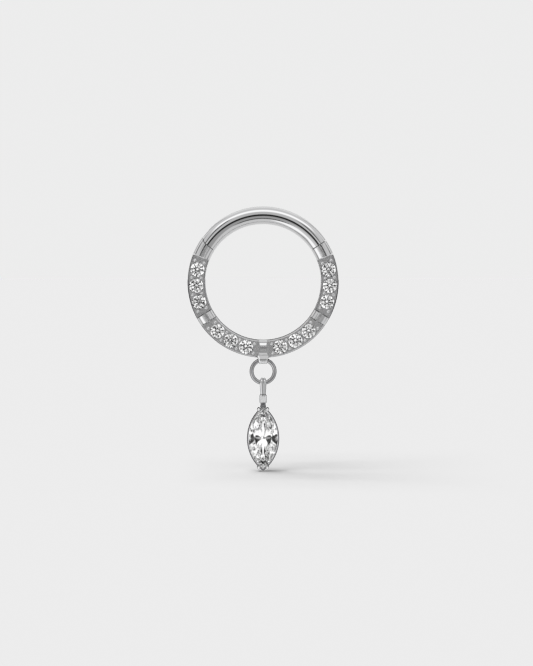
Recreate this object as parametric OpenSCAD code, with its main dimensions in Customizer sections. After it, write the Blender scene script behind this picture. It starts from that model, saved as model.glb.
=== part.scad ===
// Septum ring: a hinged hoop with stones set along its front and a marquise drop.
// Millimetres, +Z up, front towards -Y. The origin is the middle of the wire at the
// top of the hoop, where the hoop sits in the piercing.

/* [Hoop] */
// Diameter of the round wire (16 gauge)
wire_d = 1.2; // [1.1:0.05:1.3]
// Inside diameter of the hoop
bore_d = 8; // [7.5:0.5:10]
// Gap at the two seams between the hinged segment and the frame
seam_gap = 0.05; // [0.03:0.01:0.07]

/* [Hinge and closure] */
// Angle of the hinge pin, anticlockwise from the right as seen from the front
hinge_angle = 140; // [136:1:146]
// Distance of the hinge pin outside the wire's centreline
hinge_offset = 0.145; // [0.12:0.005:0.16]
// Radius of the segment's rounded knuckle about the pin
knuckle_r = 0.48; // [0.46:0.01:0.49]
// Diameter of the hinge pin
pin_d = 0.28; // [0.24:0.02:0.32]
// Thickness of the tongue between the two ears
tongue_t = 0.36; // [0.32:0.02:0.4]
// Angle of the closing seam on the right
closing_angle = 33.6; // [31:0.1:36]
// Radius of the click dome on the segment's free end
dome_r = 0.18; // [0.14:0.01:0.2]

/* [Stone plates] */
// Diameter of a round stone
stone_d = 0.98; // [0.9:0.01:1]
// Angle from one stone of a group to the next
stone_pitch = 14; // [13.5:0.5:14.5]
// Angle from the bottom of the hoop to the lower groups
lower_group = 29; // [28:0.5:30]
// Angle from the bottom of the hoop to the upper groups
upper_group = 87; // [86:0.5:88]
// Angle from the bottom of the hoop to the side notches
side_notch = 58; // [57:0.5:59]
// Angle from the bottom of the hoop to the upper end of the plates
plate_end = 112.6; // [111:0.1:114]
// Width of a plate across the hoop
plate_w = 1.16; // [1.14:0.01:1.18]
// Distance from the hoop's middle plane to the plates' flat front
plate_front = 0.615; // [0.61:0.005:0.65]

/* [Eyelet and jump ring] */
// Outside diameter of the jump ring
jump_d = 1.84; // [1.76:0.01:1.9]
// Wire diameter of the jump ring
jump_wire = 0.25; // [0.22:0.01:0.26]
// Gap from the hoop's wire to the jump ring's wire
jump_gap = 0.055; // [0.05:0.005:0.1]

/* [Drop] */
// Width of the marquise setting
setting_w = 2.2; // [2.1:0.01:2.3]
// Height of the marquise setting
setting_h = 4.45; // [4.3:0.01:4.7]
// Distance from the bail's pivot to the top tip of the setting
drop_reach = 1.62; // [1.6:0.01:1.75]
// Thickness of the setting's wall, with the gap to the stone
wall_t = 0.1; // [0.09:0.01:0.12]
// Distance from the drop's middle plane to the stone's girdle
girdle_z = 0.29; // [0.26:0.01:0.32]

/* [Hidden] */
$fn = 64;
eps = 0.01;
wire_r = wire_d / 2;
ring_r = bore_d / 2 + wire_r;
hinge_r = ring_r + hinge_offset;
bead_r = 0.11;
seat_gap = 0.015;
stone_z = plate_front - 0.03;
tongue_r = 0.345;
slot_gap = 0.02;
half_gap = seam_gap / 2 / ring_r * 180 / PI;
jump_r = jump_d / 2 - jump_wire / 2;
eye_y = -(ring_r + wire_r + jump_gap + jump_wire / 2);
jump_y = eye_y - jump_r;
pivot_y = jump_y - jump_r;
drop_y = pivot_y - drop_reach - setting_h / 2;
SIDES = [1, -1];
GROUPS = [lower_group, upper_group];

// The stones are numbered from the bottom of the hoop upwards: 1 to 6 on the right, 7 to 12 on the left.
function stone_name(i) = str("stone_", i < 10 ? "0" : "", i);
function stone_side(i) = i <= 6 ? 1 : -1;
function stone_angle(i) =
    let (n = (i - 1) % 6)
    270 + stone_side(i) * (GROUPS[floor(n / 3)] + (n % 3 - 1) * stone_pitch);

// The point where two lines, each given by its normal and its distance, meet.
function meet(n1, d1, n2, d2) =
    let (det = n1[0] * n2[1] - n1[1] * n2[0])
    [(d1 * n2[1] - d2 * n1[1]) / det, (n1[0] * d2 - n2[0] * d1) / det];

// Sixteen girdle points of a round stone, anticlockwise.
function round_girdle(r) = [for (i = [0:15]) r * [cos(22.5 * i), sin(22.5 * i)]];
function round_normals() = [for (k = [0:7]) [cos(45 * k), sin(45 * k)]];

// A marquise outline is two arcs of radius r about centres c to the left and the right.
function arc_r(w, h) = (h * h + w * w) / (4 * w);
function arc_c(w, h) = arc_r(w, h) - w / 2;
function marquise_step(w, h) = asin(h / 2 / arc_r(w, h)) / 4;
function marquise_girdle(w, h) =
    let (r = arc_r(w, h), c = arc_c(w, h), a = marquise_step(w, h))
    concat(
        [for (i = [0:4]) [r * cos(a * i) - c, r * sin(a * i)]],
        [for (i = [3:-1:-4]) [c - r * cos(a * i), r * sin(a * i)]],
        [for (i = [-3:-1]) [r * cos(a * i) - c, r * sin(a * i)]]
    );
function marquise_normals(w, h) =
    let (a = marquise_step(w, h) * 2)
    [
        [1, 0], [cos(a), sin(a)], [0, 1], [-cos(a), sin(a)],
        [-1, 0], [-cos(a), -sin(a)], [0, -1], [cos(a), -sin(a)]
    ];

// Everything on the hoop is drawn flat as seen from the front: x right, y up, z to the viewer,
// about the middle of the hoop.
module as_seen() {
    translate([0, 0, -ring_r])
        rotate([90, 0, 0])
            children();
}

// Outline from its right half, mirrored to the left.
module mirrored(half) {
    polygon(concat(half, [for (i = [len(half) - 1:-1:0]) [-half[i][0], half[i][1]]]));
}

module on_hoop(angle, r = ring_r) {
    rotate([0, 0, angle])
        translate([r, 0, 0])
            children();
}

// At the hinge pin, x points away from the hoop's middle and y towards the frame.
module at_hinge() {
    on_hoop(hinge_angle, hinge_r)
        children();
}

module tube(from, to, r = wire_r) {
    rotate([0, 0, from])
        rotate_extrude(angle = to - from)
            translate([ring_r, 0])
                circle(r);
}

// Two crossing arcs of radius r about centres c to either side.
module marquise_prism(r, c, height) {
    intersection() {
        translate([-c, 0, 0])
            cylinder(r = r, h = height);
        translate([c, 0, 0])
            cylinder(r = r, h = height);
    }
}

// The same outline, narrower at the bottom than at the top.
module marquise_cup(r_low, r_high, c, height) {
    intersection() {
        translate([-c, 0, 0])
            cylinder(r1 = r_low, r2 = r_high, h = height);
        translate([c, 0, 0])
            cylinder(r1 = r_low, r2 = r_high, h = height);
    }
}

// A brilliant cut: table, 8 stars, 8 kites and 16 halves above the girdle, and 16 halves
// and 8 mains below it. Each kite is flat, because its star points lie where two mains meet.
module brilliant(girdle, normals, table, crown, band, pavilion) {
    star = 0.67;
    half = 0.78;
    d = [for (k = [0:7]) normals[k] * girdle[2 * k]];
    corner = [for (k = [0:7]) meet(normals[k], d[k], normals[(k + 1) % 8], d[(k + 1) % 8])];
    top = band / 2;
    points = concat(
        [for (k = [0:7]) [table * girdle[2 * k][0], table * girdle[2 * k][1], top + crown]],
        [for (p = corner) let (s = 1 - (1 - table) * star) [s * p[0], s * p[1], top + crown * star]],
        [for (p = girdle) [p[0], p[1], top]],
        [for (p = girdle) [p[0], p[1], -top]],
        [for (p = corner) [(1 - half) * p[0], (1 - half) * p[1], -top - pavilion * half]],
        [[0, 0, -top - pavilion]]
    );
    faces = concat(
        [[for (k = [7:-1:0]) k]],
        [for (k = [0:7]) [(k + 1) % 8, 8 + k, k]],
        [for (k = [0:7]) [k, 8 + k, 16 + 2 * k, 8 + (k + 7) % 8]],
        [for (k = [0:7]) [8 + k, 17 + 2 * k, 16 + 2 * k]],
        [for (k = [0:7]) [8 + k, 16 + (2 * k + 2) % 16, 17 + 2 * k]],
        [for (i = [0:15]) [16 + i, 16 + (i + 1) % 16, 32 + (i + 1) % 16, 32 + i]],
        [for (k = [0:7]) [48 + k, 32 + 2 * k, 33 + 2 * k]],
        [for (k = [0:7]) [48 + k, 33 + 2 * k, 32 + (2 * k + 2) % 16]],
        [for (k = [0:7]) [56, 48 + (k + 7) % 8, 32 + 2 * k, 48 + k]]
    );
    polyhedron(points, faces);
}

// Flat-fronted section of the plates with bevelled edges. Its foot lies within the wire.
module plate_section() {
    w = plate_w / 2;
    bevel = 0.06;
    translate([ring_r, 0])
        polygon([
            [-w, -0.1], [w, -0.1], [w, plate_front - bevel], [w - bevel, plate_front],
            [-w + bevel, plate_front], [-w, plate_front - bevel]
        ]);
}

// Waisted gap between the two lower plates, where the bare wire shows.
module bottom_notch() {
    linear_extrude(height = 3, center = true)
        mirrored([
            [0.28, -3.85], [0.272, -4.05], [0.205, -4.45], [0.215, -4.65], [0.263, -4.85],
            [0.378, -5.155], [0.42, -5.35]
        ]);
}

// Gap between a lower and an upper plate, with walls that lean open to the front.
module side_notch_cut() {
    rotate([90, 0, 90])
        linear_extrude(height = 3, center = true)
            polygon([
                [-0.245, -1], [0.245, -1], [0.245, 0.13], [0.335, 0.72], [-0.335, 0.72], [-0.245, 0.13]
            ]);
}

module plates() {
    difference() {
        for (side = SIDES)
            rotate([0, 0, side > 0 ? 271.5 : 270 - plate_end])
                rotate_extrude(angle = plate_end - 1.5)
                    plate_section();
        bottom_notch();
        for (side = SIDES)
            on_hoop(270 + side * side_notch)
                side_notch_cut();
    }
}

// Small bead prongs, two between each pair of stones and two past the ends of each group.
module beads() {
    for (side = SIDES, group = GROUPS, n = [-1.5:1.5], across = [-0.32, 0.32])
        on_hoop(270 + side * (group + n * stone_pitch), ring_r + across)
            translate([0, 0, plate_front - 0.02])
                sphere(bead_r);
}

module stone_seats() {
    seat_r = stone_d / 2 + seat_gap;
    for (i = [1:12])
        on_hoop(stone_angle(i))
            rotate_extrude()
                polygon([[0, 0.04], [0.055, 0.04], [seat_r, stone_z - 0.045], [seat_r, 1], [0, 1]]);
}

// Lug under the hoop with a hole from side to side, wider at its mouths.
module eyelet() {
    intersection() {
        linear_extrude(height = 2, center = true)
            mirrored([
                [0.45, -4.75], [0.45, -5.1], [0.378, -5.2], [0.33, -5.35], [0.29, -5.5], [0.22, -5.8]
            ]);
        union() {
            translate([0, eye_y, 0])
                rotate([0, 90, 0])
                    cylinder(r = jump_wire / 2 + 0.14, h = 2, center = true);
            rotate([0, 90, 0])
                linear_extrude(height = 2, center = true)
                    polygon([
                        [-0.5, -4.8], [-0.5, -4.7], [0.5, -4.7], [0.5, -4.8], [0.25, eye_y], [-0.25, eye_y]
                    ]);
        }
    }
}

module eyelet_hole() {
    r = jump_wire / 2 + 0.04;
    mouth = r + 0.1;
    translate([0, eye_y, 0])
        rotate([0, 90, 0])
            rotate_extrude()
                polygon([[0, -0.42], [mouth, -0.42], [r, -0.11], [r, 0.11], [mouth, 0.42], [0, 0.42]]);
}

// What the segment's knuckle needs clear of the frame.
module knuckle_room() {
    r = knuckle_r + seam_gap;
    linear_extrude(height = 3, center = true)
        union() {
            circle(r);
            translate([-1.5, -1])
                square([1.5, 1 + r - 0.004]);
        }
}

module tongue() {
    difference() {
        linear_extrude(height = tongue_t, center = true)
            union() {
                circle(tongue_r);
                translate([-tongue_r + 0.005, 0])
                    square([2 * tongue_r - 0.04, 0.65]);
            }
        cylinder(d = pin_d + 0.02, h = 1, center = true);
    }
}

// Round wire from the hinge round the bottom to the closing seam, with the click recess.
module frame_wire() {
    difference() {
        tube(hinge_angle + 1, 360 + closing_angle - half_gap);
        at_hinge()
            knuckle_room();
        on_hoop(closing_angle + half_gap)
            sphere(dome_r + 0.05);
    }
}

module ring_frame() {
    color([0.74, 0.75, 0.76])
        as_seen() {
            difference() {
                union() {
                    frame_wire();
                    at_hinge()
                        tongue();
                    plates();
                    eyelet();
                }
                stone_seats();
                eyelet_hole();
            }
            beads();
        }
}

// The pin goes in from the back, so that the front of the wire stays unbroken.
module hinge_pin() {
    color([0.66, 0.67, 0.68])
        as_seen()
            intersection() {
                at_hinge()
                    translate([0, 0, -1])
                        cylinder(d = pin_d, h = 1.44);
                tube(hinge_angle - 10, hinge_angle + 10, wire_r - 0.01);
            }
}

// The plain round arc that passes through the piercing and swings open about the pin.
module hinged_segment() {
    slot_r = tongue_r + slot_gap + 0.005;
    color([0.82, 0.83, 0.84])
        as_seen()
            difference() {
                union() {
                    tube(closing_angle + half_gap, hinge_angle + 10);
                    on_hoop(closing_angle + half_gap)
                        sphere(dome_r);
                }
                at_hinge()
                    linear_extrude(height = 3, center = true)
                        difference() {
                            translate([-1.5, 0])
                                square([3, 2.5]);
                            circle(knuckle_r);
                            translate([-1.6, -0.1])
                                square([1.6, knuckle_r + 0.1 - 0.004]);
                        }
                at_hinge()
                    linear_extrude(height = tongue_t + 2 * slot_gap, center = true)
                        union() {
                            circle(slot_r);
                            translate([0, 0.005 - slot_r])
                                square([1, 1.4]);
                            translate([0.005 - slot_r, 0])
                                square([1.4, 1]);
                        }
                at_hinge()
                    translate([0, 0, -1])
                        cylinder(d = pin_d + 0.04, h = 1.46);
            }
}

module jump_ring() {
    color([0.78, 0.79, 0.8])
        as_seen()
            translate([0, jump_y, 0])
                rotate_extrude()
                    translate([jump_r, 0])
                        circle(jump_wire / 2);
}

// Strap loop that hangs on the jump ring, with the neck block that closes it.
module bail() {
    inside = jump_wire / 2 + 0.04;
    outside = inside + 0.18;
    translate([0, pivot_y, 0])
        difference() {
            intersection() {
                linear_extrude(height = 1, center = true)
                    mirrored([
                        [0.14, 0.4], [0.19, 0.27], [0.215, 0], [0.165, -0.83], [0.237, -0.87],
                        [0.237, -1.4], [0.12, -1.5]
                    ]);
                rotate([0, 90, 0])
                    linear_extrude(height = 2, center = true)
                        difference() {
                            union() {
                                circle(outside);
                                mirrored([[outside - 0.01, -0.05], [0.16, -0.87], [0.16, -1.6]]);
                            }
                            circle(inside);
                            mirrored([[inside - 0.01, -0.04], [0.05, -0.78]]);
                        }
            }
            for (side = SIDES)
                rotate([0, side * 90, 0])
                    translate([0, 0, 0.1])
                        cylinder(r1 = inside - 0.005, r2 = inside + 0.06, h = 0.2);
        }
}

module setting() {
    r = arc_r(setting_w, setting_h);
    c = arc_c(setting_w, setting_h);
    pocket_r = r - wall_t + seat_gap;
    translate([0, drop_y, 0])
        difference() {
            union() {
                translate([0, 0, -0.11])
                    marquise_prism(r, c, girdle_z + 0.09 + 0.11);
                translate([0, 0, -0.63])
                    marquise_cup(r - 0.27, r, c, 0.52);
                // Two claws at each tip of the stone.
                for (x = SIDES, y = SIDES)
                    translate([x * 0.3, y * (setting_h / 2 - 0.21), 0]) {
                        translate([0, 0, -0.36])
                            cylinder(r = 0.1, h = girdle_z + 0.44);
                        translate([0, 0, girdle_z + 0.08])
                            sphere(0.1);
                    }
                // Post from the neck to the back of the tip.
                translate([-0.11, setting_h / 2 - 0.36, -0.18])
                    cube([0.22, 0.68, 0.32]);
            }
            translate([0, 0, girdle_z - 0.03])
                marquise_prism(pocket_r, c, 1);
            translate([0, 0, girdle_z - 0.4])
                marquise_cup(pocket_r - 0.43, pocket_r + 0.005, c, 0.38);
            translate([0, 0, -1])
                marquise_prism(pocket_r - 0.43, c, girdle_z - 0.4 + 1 + eps);
        }
}

// Bail, neck and setting are soldered together and swing as one piece.
module drop_setting() {
    color([0.74, 0.75, 0.76])
        as_seen() {
            bail();
            setting();
        }
}

module marquise_stone() {
    w = setting_w - 2 * wall_t;
    c = arc_c(setting_w, setting_h);
    h = 2 * sqrt(pow(arc_r(setting_w, setting_h) - wall_t, 2) - c * c);
    color([0.9, 0.93, 0.95])
        as_seen()
            translate([0, drop_y, girdle_z])
                brilliant(marquise_girdle(w, h), marquise_normals(w, h), 0.58, 0.27, 0.036, 0.83);
}

module round_stone(i) {
    color([0.9, 0.93, 0.95])
        as_seen()
            on_hoop(stone_angle(i))
                translate([0, 0, stone_z])
                    brilliant(round_girdle(stone_d / 2), round_normals(), 0.56, 0.155, 0.027, 0.42);
}

ring_frame();
hinge_pin();
hinged_segment();
jump_ring();
drop_setting();
marquise_stone();
for (i = [1:12])
    round_stone(i);
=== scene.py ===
# %% [markdown]
# # Septum ring with front-set stones and a marquise drop
# The ring is 10 mm across and hangs upright. Its CAD solids carry the joints, and here each
# metal solid gets a finely worked surface in its place. The stones keep their CAD facets,
# because a cut stone is nothing but flat facets, and get a clear, strongly bending material.

import bmesh
import bpy
import numpy as np
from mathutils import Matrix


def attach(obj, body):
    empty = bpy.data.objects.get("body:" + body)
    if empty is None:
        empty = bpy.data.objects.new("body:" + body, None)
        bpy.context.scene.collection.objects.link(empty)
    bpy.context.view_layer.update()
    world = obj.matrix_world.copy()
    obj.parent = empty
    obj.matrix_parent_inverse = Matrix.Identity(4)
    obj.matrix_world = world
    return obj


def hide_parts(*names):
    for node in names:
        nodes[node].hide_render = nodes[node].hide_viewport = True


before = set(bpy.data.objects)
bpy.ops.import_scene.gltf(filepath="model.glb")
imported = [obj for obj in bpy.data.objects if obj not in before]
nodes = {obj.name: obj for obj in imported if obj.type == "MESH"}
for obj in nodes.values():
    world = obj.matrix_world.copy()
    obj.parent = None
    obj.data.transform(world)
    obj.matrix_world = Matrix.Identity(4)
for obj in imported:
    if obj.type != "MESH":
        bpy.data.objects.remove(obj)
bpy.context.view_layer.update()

# %% [markdown]
# ## Measures
# A jeweller draws such a ring flat, as seen from the front, so every point here is worked out
# in millimetres with x to the right, y up and z towards the viewer, about the middle of the
# hoop. One function then stands the drawing up in Blender's metres.

# %% Measures in millimetres
WIRE_R, RING_R = 0.6, 4.6            # the wire's radius, and the hoop's to the wire's middle
HINGE_ANGLE, HINGE_R = 140.0, 4.745  # the pin's place: round the hoop, and from its middle
KNUCKLE_R, SEAM = 0.48, 0.05         # the knuckle about the pin, and the gap at both seams
CLOSING_ANGLE = 33.6                 # where the hoop opens
PLATE_W, PLATE_FRONT = 0.58, 0.615   # a plate's half width, and how far forward its face lies
STONE_R, STONE_Z = 0.49, 0.585       # a round stone, and how far forward its girdle lies
JUMP_R, JUMP_WIRE = 0.795, 0.125     # the jump ring, and its wire
EYE_Y = -5.38                        # height of the eyelet's hole
JUMP_Y = EYE_Y - JUMP_R              # the jump ring's middle
PIVOT_Y = JUMP_Y - JUMP_R            # where the drop hangs in the jump ring
DROP_Y = PIVOT_Y - 3.845             # the marquise stone's middle
ARC_R, ARC_C = 2.8003, 1.7003        # its setting's two arcs, and their centres to either side
GIRDLE_Z = 0.29                      # how far forward the marquise stone's girdle lies
LOWEST = DROP_Y - 2.225              # the drop's lowest point
GROUPS = (29, 87)                    # angles from the bottom to the middle of a plate's stones
PITCH = 14                           # angle from one stone to the next


def stand_up(points):
    """World metres of drawing points: x stays, the drawing's up is Z, towards the viewer is -Y."""
    p = np.asarray(points, float)
    return np.stack([p[..., 0], -p[..., 2], p[..., 1] - RING_R], axis=-1) / 1000


def stone_angles():
    """Angles of the twelve stones: two groups of three on each side, counted from the bottom."""
    steps = [group + n * PITCH for group in GROUPS for n in (-1, 0, 1)]
    return [270 + side * step for side in (1, -1) for step in steps]


print("stone angles:", stone_angles())

# %% [markdown]
# ## Metal and stone as nodes
# A material is a small diagram of nodes, and many of them do plain sums. A socket takes either
# a number or another node's output, so one helper fills it both ways. The second helper makes
# a Math node and hands back its output, so that a sum reads like a sum.


# %% Node helpers
def put(tree, socket, value):
    """Links a node's output to a socket, or sets the socket to a number, a colour to a grey."""
    if isinstance(value, bpy.types.NodeSocket):
        tree.links.new(value, socket)
    elif socket.type == "RGBA":
        socket.default_value = (value, value, value, 1)
    else:
        socket.default_value = value


def math(tree, operation, *inputs, clamp=False):
    """The output of a Math node with these inputs."""
    node = tree.nodes.new("ShaderNodeMath")
    node.operation, node.use_clamp = operation, clamp
    for socket, value in zip(node.inputs, inputs):
        put(tree, socket, value)
    return node.outputs[0]


# %% [markdown]
# ### Polish
# Polished metal is a mirror that is never quite perfect. The polishing wheel leaves hairlines
# finer than the eye can part, and fingers leave faint clouds. One node group makes both from
# noise on the object's own coordinates, and each metal takes them at its own strength.


# %% Polish group
def polish_group():
    """Clouds are broad noise, and hairlines are fine noise drawn out from front to back. Both
    are moved to lie about zero and added to the roughness. The clouds dim the colour too."""
    tree = bpy.data.node_groups.new("Polish", "ShaderNodeTree")
    face = tree.interface
    for name, default in (("Cloud scale", 300.0), ("Hairline scale", 9000.0), ("Roughness", 0.06),
                          ("Cloud strength", 0.03), ("Hairline strength", 0.03), ("Tint", 0.04)):
        face.new_socket(name, in_out="INPUT", socket_type="NodeSocketFloat").default_value = default
    face.new_socket("Colour", in_out="INPUT", socket_type="NodeSocketColor")
    face.new_socket("Colour", in_out="OUTPUT", socket_type="NodeSocketColor")
    face.new_socket("Roughness", in_out="OUTPUT", socket_type="NodeSocketFloat")
    face.new_socket("Height", in_out="OUTPUT", socket_type="NodeSocketFloat")
    start = tree.nodes.new("NodeGroupInput")
    end = tree.nodes.new("NodeGroupOutput")
    where = tree.nodes.new("ShaderNodeTexCoord").outputs["Object"]
    drawn = tree.nodes.new("ShaderNodeMapping")
    drawn.inputs["Scale"].default_value = (1.0, 0.12, 1.0)
    tree.links.new(where, drawn.inputs["Vector"])

    def noise(vector, scale, detail):
        node = tree.nodes.new("ShaderNodeTexNoise")
        node.inputs["Detail"].default_value = detail
        tree.links.new(vector, node.inputs["Vector"])
        tree.links.new(scale, node.inputs["Scale"])
        return node.outputs["Fac"]

    def unevenness(pattern, strength):
        about_zero = math(tree, "SUBTRACT", pattern, 0.5)
        return math(tree, "MULTIPLY", about_zero, start.outputs[strength])

    clouds = noise(where, start.outputs["Cloud scale"], 3.0)
    hairs = noise(drawn.outputs[0], start.outputs["Hairline scale"], 2.0)
    uneven = math(tree, "ADD", unevenness(clouds, "Cloud strength"),
                  unevenness(hairs, "Hairline strength"))
    rough = math(tree, "ADD", start.outputs["Roughness"], uneven)
    tree.links.new(math(tree, "MAXIMUM", rough, 0.0), end.inputs["Roughness"])
    tree.links.new(hairs, end.inputs["Height"])
    shade = math(tree, "SUBTRACT", 1.0, math(tree, "MULTIPLY", start.outputs["Tint"], clouds))
    dim = tree.nodes.new("ShaderNodeVectorMath")
    dim.operation = "SCALE"
    tree.links.new(start.outputs["Colour"], dim.inputs[0])
    tree.links.new(shade, dim.inputs["Scale"])
    tree.links.new(dim.outputs[0], end.inputs["Colour"])
    return tree


POLISH = polish_group()
print("polish sockets:", [socket.name for socket in POLISH.interface.items_tree])

# %% [markdown]
# ### Finishes
# All the metal here is titanium, and only the last step of the work differs. The hoop is
# polished on a wheel. The plates' fronts keep the satin of the file, which spreads a reflection
# to an even grey. The faces at the seams are dull and dark, and so are the solder band, the
# collar and the groove in the bail: painted shade in gaps and joins. The jump ring and the
# setting's outer wall are a darker copy of the titanium, painted shade too, and the inside of
# the stone's setting is bright as silver, to send light back into the stone. One function makes
# them all, and a finish is then a line of numbers.

# %% Finish function
BUMP_HIGH = 0.00001  # metres


def finish(name, colour, bump=0.0, metallic=1.0, even=False, **values):
    """A Principled material whose colour, roughness and fine relief come from the Polish group.
    An even one takes only its colour from there, and its roughness is one plain number."""
    material = bpy.data.materials.new(name)
    material.use_nodes = True
    tree = material.node_tree
    shader = tree.nodes["Principled BSDF"]
    shader.inputs["Metallic"].default_value = metallic
    polish = tree.nodes.new("ShaderNodeGroup")
    polish.node_tree = POLISH
    polish.inputs["Colour"].default_value = (*colour, 1)
    for socket, value in values.items():
        polish.inputs[socket.replace("_", " ")].default_value = value
    tree.links.new(polish.outputs["Colour"], shader.inputs["Base Color"])
    if even:
        shader.inputs["Roughness"].default_value = values["Roughness"]
    else:
        tree.links.new(polish.outputs["Roughness"], shader.inputs["Roughness"])
    if bump:
        relief = tree.nodes.new("ShaderNodeBump")
        relief.inputs["Strength"].default_value = bump
        relief.inputs["Distance"].default_value = BUMP_HIGH
        tree.links.new(polish.outputs["Height"], relief.inputs["Height"])
        tree.links.new(relief.outputs["Normal"], shader.inputs["Normal"])
    return material


print("relief at most:", BUMP_HIGH * 1000, "mm")

# %% Metals
polished = finish("polished titanium", (0.64, 0.64, 0.645), bump=0.08, Roughness=0.05)
satin = finish("satin plate front", (0.87, 0.87, 0.875), bump=0.3, Roughness=0.28,
               Hairline_strength=0.12)
# Painted shade: dark dull metal in seams, slots, holes, the bail's groove, the band and collar.
painted_shade_metal = finish("dark metal, painted shade", (0.2, 0.2, 0.205), bump=0.6, Roughness=0.45, Hairline_strength=0.2)
pin_metal = finish("cut pin", (0.5, 0.5, 0.51), bump=0.3, Roughness=0.2)
silver = finish("silvered seat", (0.96, 0.96, 0.96), bump=0.05, Roughness=0.03)
# Painted shade: a darker copy of the titanium for the jump ring and the setting's outer wall.
drawn = finish("darker titanium, painted shade", (0.44, 0.44, 0.445), bump=0.1, Roughness=0.08)
METALS = [polished, satin, painted_shade_metal, pin_metal, silver, drawn]
SATIN, PAINTED_SHADE, PIN, SILVER, SHADED_TITANIUM = 1, 2, 3, 4, 5
print("metals:", [metal.name for metal in METALS])

# %% [markdown]
# ## Surfaces from numbers
# A surface is a sheet of points with two counters, like a map's rows and columns. Where the
# columns close on themselves the sheet is a tube, and each end gets a lid. Working on whole
# arrays keeps the formulas in one line each, and the same few helpers build every piece.


# %% Sheets
def turned(points, degrees):
    """Points turned about the drawing's z axis: x' = x cos - y sin, y' = x sin + y cos."""
    a = np.radians(degrees)
    p = np.asarray(points, float)
    x, y = p[..., 0], p[..., 1]
    return np.stack([x * np.cos(a) - y * np.sin(a), x * np.sin(a) + y * np.cos(a), p[..., 2]], -1)


def sheet_faces(rows, cols, closed_rows=False):
    """Four-sided faces between neighbouring points; the columns always close into a loop."""
    i = np.arange(rows if closed_rows else rows - 1)[:, None]
    j = np.arange(cols)[None, :]
    k, m = (i + 1) % rows, (j + 1) % cols
    return np.stack([i * cols + j, k * cols + j, k * cols + m, i * cols + m], -1).reshape(-1, 4)


def lid(first, cols, ruled):
    """Closes one end: as a single flat face, or ruled, joining each point to its mirror twin."""
    if not ruled:
        return [list(range(first, first + cols))]
    half = cols // 2
    strips = [[j, j + 1, cols - j - 1, cols - j] for j in range(1, half - 1)]
    tips = [[0, 1, cols - 1], [half - 1, half, half + 1]]
    return [[first + n for n in face] for face in strips + tips]


print("3 rows of 8 points:", len(sheet_faces(3, 8)), "walls,", len(lid(0, 8, True)), "in a lid")

# %% [markdown]
# ### From a sheet to a piece
# Every piece carries the same list of metals, and each face says by its number which one it
# has, so that a sawn end and a polished wall can be one solid. Points that fall together are
# merged, and the faces are turned to point outwards, before anything else is done to the mesh.


# %% Pieces
def added(name, data):
    """A new object at the origin, in the scene."""
    thing = bpy.data.objects.new(name, data)
    bpy.context.scene.collection.objects.link(thing)
    return thing


def as_piece(name, mesh):
    """An object that holds the mesh, with the whole list of metals."""
    for metal in METALS:
        mesh.materials.append(metal)
    return added(name, mesh)


def skin(name, grid, closed_rows=False, ruled=(False, False), metal=0, lid_metal=None):
    """Mesh of a (rows, columns, 3) sheet in world metres. An open sheet gets a lid at each
    end, which may have another metal than the wall."""
    rows, cols = grid.shape[:2]
    faces = sheet_faces(rows, cols, closed_rows).tolist()
    walls = len(faces)
    if not closed_rows:
        faces += lid(0, cols, ruled[0]) + lid((rows - 1) * cols, cols, ruled[1])
    index = np.full(len(faces), metal, np.int32)
    index[walls:] = metal if lid_metal is None else lid_metal
    mesh = bpy.data.meshes.new(name)
    mesh.from_pydata(stand_up(grid).reshape(-1, 3).tolist(), [], faces)
    mesh.polygons.foreach_set("material_index", index)
    work = bmesh.new()
    work.from_mesh(mesh)
    bmesh.ops.remove_doubles(work, verts=work.verts, dist=1e-8)
    bmesh.ops.recalc_face_normals(work, faces=work.faces)
    work.to_mesh(mesh)
    work.free()
    return as_piece(name, mesh)


def joined(name, pieces):
    """One object that holds several separate shells."""
    work = bmesh.new()
    for piece in pieces:
        work.from_mesh(piece.data)
        bpy.data.objects.remove(piece)
    mesh = bpy.data.meshes.new(name)
    work.to_mesh(mesh)
    work.free()
    return as_piece(name, mesh)


# %% [markdown]
# ### Solder and saw
# A jeweller builds up from simple bodies, solders them together and cuts away. A Boolean
# modifier does both. It is applied at once by taking the mesh as it comes out of the modifier,
# because the next cut needs the real faces.


# %% Solder
def solder(body, tool, how="UNION"):
    """Adds the tool's solid to the body's, or takes it away, with an applied Boolean modifier."""
    step = body.modifiers.new(how, "BOOLEAN")
    step.operation, step.solver, step.object = how, "EXACT", tool
    bpy.context.view_layer.update()
    evaluated = body.evaluated_get(bpy.context.evaluated_depsgraph_get())
    mesh = bpy.data.meshes.new_from_object(evaluated)
    body.modifiers.clear()
    body.data = mesh
    bpy.data.objects.remove(tool)
    return body


# %% [markdown]
# ### Profiles
# Most parts of a ring are a profile carried along a path. A tube carries a circle round the
# hoop. A lathe turns a profile about an axis. A superellipse is a circle pushed out towards
# its box, which is the shape that filing and polishing leave on a small metal block.


# %% Profile helpers
def circle(count):
    """Cosine and sine of evenly spaced angles round a full turn."""
    t = np.linspace(0, 2 * np.pi, count, endpoint=False)
    return np.cos(t), np.sin(t)


def superellipse(count, power):
    """Circle pushed out towards a square: each coordinate becomes |c| to the 2 / power."""
    c, s = circle(count)
    return np.sign(c) * np.abs(c) ** (2 / power), np.sign(s) * np.abs(s) ** (2 / power)


def lathe(name, radii, heights, centre, axis="z", count=48, metal=0):
    """Turns a profile, given by its radius at each height, about an axis through centre."""
    c, s = circle(count)
    r, h = np.asarray(radii, float)[:, None], np.asarray(heights, float)[:, None]
    round_about = [r * c, r * s, h + 0 * c]
    if axis == "x":
        round_about = [h + 0 * c, r * c, r * s]
    return skin(name, np.stack(round_about, -1) + np.asarray(centre, float), metal=metal)


def prism(name, outline, low, high, metal=0, place=np.asarray):
    """Straight walls over a flat outline. A place function moves the points."""
    flat = np.asarray(outline, float)
    grid = [np.column_stack([flat, np.full(len(flat), z)]) for z in (low, high)]
    return skin(name, place(grid), metal=metal)


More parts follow.
